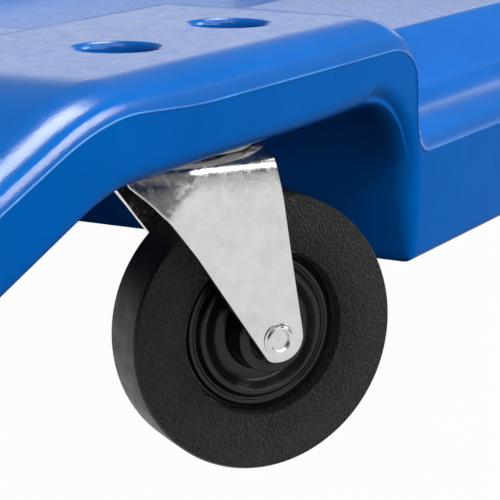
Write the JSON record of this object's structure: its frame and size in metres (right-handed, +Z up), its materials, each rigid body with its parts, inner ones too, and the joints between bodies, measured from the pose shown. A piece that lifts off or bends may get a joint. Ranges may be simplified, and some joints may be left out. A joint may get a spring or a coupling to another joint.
{
  "type": "mechanics creeper",
  "caption": "Low moulded creeper with a sunk bed, raised caster pads, tool trays, a padded headrest and swivel casters.",
  "frame": {"origin": "on the floor under the middle of the deck", "axes": "+X along the deck towards the head end, +Y to the left-hand side seen from the foot end, +Z up"},
  "size_m": [1.016, 0.4878, 0.121],
  "materials": {
    "blue_plastic": "blow-moulded polyethylene, fine leather grain above the parting line and smooth below it",
    "black_rubber": "hard black tyre with a fine rough grain",
    "black_nylon": "smooth black moulding, semi-gloss",
    "zinc": "bright zinc-plated pressed steel with faint scuffs",
    "dark_steel": "plated steel, duller than the fork",
    "plywood": "thin plywood board under the headrest",
    "black_vinyl": "black vinyl cover with a fine grain"
  },
  "bodies": {
    "root": {"deck_shell": "blue_plastic", "headrest_board": "plywood", "headrest_pad": "black_vinyl", "headrest_left_screw": "zinc", "headrest_right_screw": "zinc", "foot_right_plate": "zinc", "foot_right_kingpin": "dark_steel", "foot_right_near_bolt": "dark_steel", "foot_right_far_bolt": "dark_steel", "foot_left_plate": "zinc", "foot_left_kingpin": "dark_steel", "foot_left_near_bolt": "dark_steel", "foot_left_far_bolt": "dark_steel", "mid_right_plate": "zinc", "mid_right_kingpin": "dark_steel", "mid_right_near_bolt": "dark_steel", "mid_right_far_bolt": "dark_steel", "mid_left_plate": "zinc", "mid_left_kingpin": "dark_steel", "mid_left_near_bolt": "dark_steel", "mid_left_far_bolt": "dark_steel", "head_right_plate": "zinc", "head_right_kingpin": "dark_steel", "head_right_near_bolt": "dark_steel", "head_right_far_bolt": "dark_steel", "head_left_plate": "zinc", "head_left_kingpin": "dark_steel", "head_left_near_bolt": "dark_steel", "head_left_far_bolt": "dark_steel"},
    "foot_right_swivel": {"foot_right_fork": "zinc", "foot_right_ball_cage": "dark_steel", "foot_right_axle_rivet": "zinc"},
    "foot_right_wheel": {"foot_right_wheel_core": "black_nylon", "foot_right_tyre": "black_rubber"},
    "foot_left_swivel": {"foot_left_fork": "zinc", "foot_left_ball_cage": "dark_steel", "foot_left_axle_rivet": "zinc"},
    "foot_left_wheel": {"foot_left_wheel_core": "black_nylon", "foot_left_tyre": "black_rubber"},
    "mid_right_swivel": {"mid_right_fork": "zinc", "mid_right_ball_cage": "dark_steel", "mid_right_axle_rivet": "zinc"},
    "mid_right_wheel": {"mid_right_wheel_core": "black_nylon", "mid_right_tyre": "black_rubber"},
    "mid_left_swivel": {"mid_left_fork": "zinc", "mid_left_ball_cage": "dark_steel", "mid_left_axle_rivet": "zinc"},
    "mid_left_wheel": {"mid_left_wheel_core": "black_nylon", "mid_left_tyre": "black_rubber"},
    "head_right_swivel": {"head_right_fork": "zinc", "head_right_ball_cage": "dark_steel", "head_right_axle_rivet": "zinc"},
    "head_right_wheel": {"head_right_wheel_core": "black_nylon", "head_right_tyre": "black_rubber"},
    "head_left_swivel": {"head_left_fork": "zinc", "head_left_ball_cage": "dark_steel", "head_left_axle_rivet": "zinc"},
    "head_left_wheel": {"head_left_wheel_core": "black_nylon", "head_left_tyre": "black_rubber"}
  },
  "joints": [
    {"name": "foot_right_swivel_turn", "type": "hinge", "parent": "root", "child": "foot_right_swivel", "pos_m": [-0.343, -0.2104, 0.0764], "axis": [0, 0, 1], "continuous": true},
    {"name": "foot_right_wheel_spin", "type": "hinge", "parent": "foot_right_swivel", "child": "foot_right_wheel", "pos_m": [-0.32789, -0.2209, 0.03175], "axis": [0.5707, 0.8211, 0], "continuous": true},
    {"name": "foot_left_swivel_turn", "type": "hinge", "parent": "root", "child": "foot_left_swivel", "pos_m": [-0.343, 0.2104, 0.0764], "axis": [0, 0, 1], "continuous": true},
    {"name": "foot_left_wheel_spin", "type": "hinge", "parent": "foot_left_swivel", "child": "foot_left_wheel", "pos_m": [-0.32789, 0.2209, 0.03175], "axis": [-0.5707, 0.8211, 0], "continuous": true},
    {"name": "mid_right_swivel_turn", "type": "hinge", "parent": "root", "child": "mid_right_swivel", "pos_m": [0, -0.2104, 0.0764], "axis": [0, 0, 1], "continuous": true},
    {"name": "mid_right_wheel_spin", "type": "hinge", "parent": "mid_right_swivel", "child": "mid_right_wheel", "pos_m": [0.0175, -0.21609, 0.03175], "axis": [0.309, 0.9511, 0], "continuous": true},
    {"name": "mid_left_swivel_turn", "type": "hinge", "parent": "root", "child": "mid_left_swivel", "pos_m": [0, 0.2104, 0.0764], "axis": [0, 0, 1], "continuous": true},
    {"name": "mid_left_wheel_spin", "type": "hinge", "parent": "mid_left_swivel", "child": "mid_left_wheel", "pos_m": [0.01806, 0.21391, 0.03175], "axis": [-0.1908, 0.9816, 0], "continuous": true},
    {"name": "head_right_swivel_turn", "type": "hinge", "parent": "root", "child": "head_right_swivel", "pos_m": [0.343, -0.2104, 0.0764], "axis": [0, 0, 1], "continuous": true},
    {"name": "head_right_wheel_spin", "type": "hinge", "parent": "head_right_swivel", "child": "head_right_wheel", "pos_m": [0.35968, -0.21818, 0.03175], "axis": [0.4226, 0.9063, 0], "continuous": true},
    {"name": "head_left_swivel_turn", "type": "hinge", "parent": "root", "child": "head_left_swivel", "pos_m": [0.343, 0.2104, 0.0764], "axis": [0, 0, 1], "continuous": true},
    {"name": "head_left_wheel_spin", "type": "hinge", "parent": "head_left_swivel", "child": "head_left_wheel", "pos_m": [0.35893, 0.2196, 0.03175], "axis": [-0.5, 0.866, 0], "continuous": true}
  ]
}
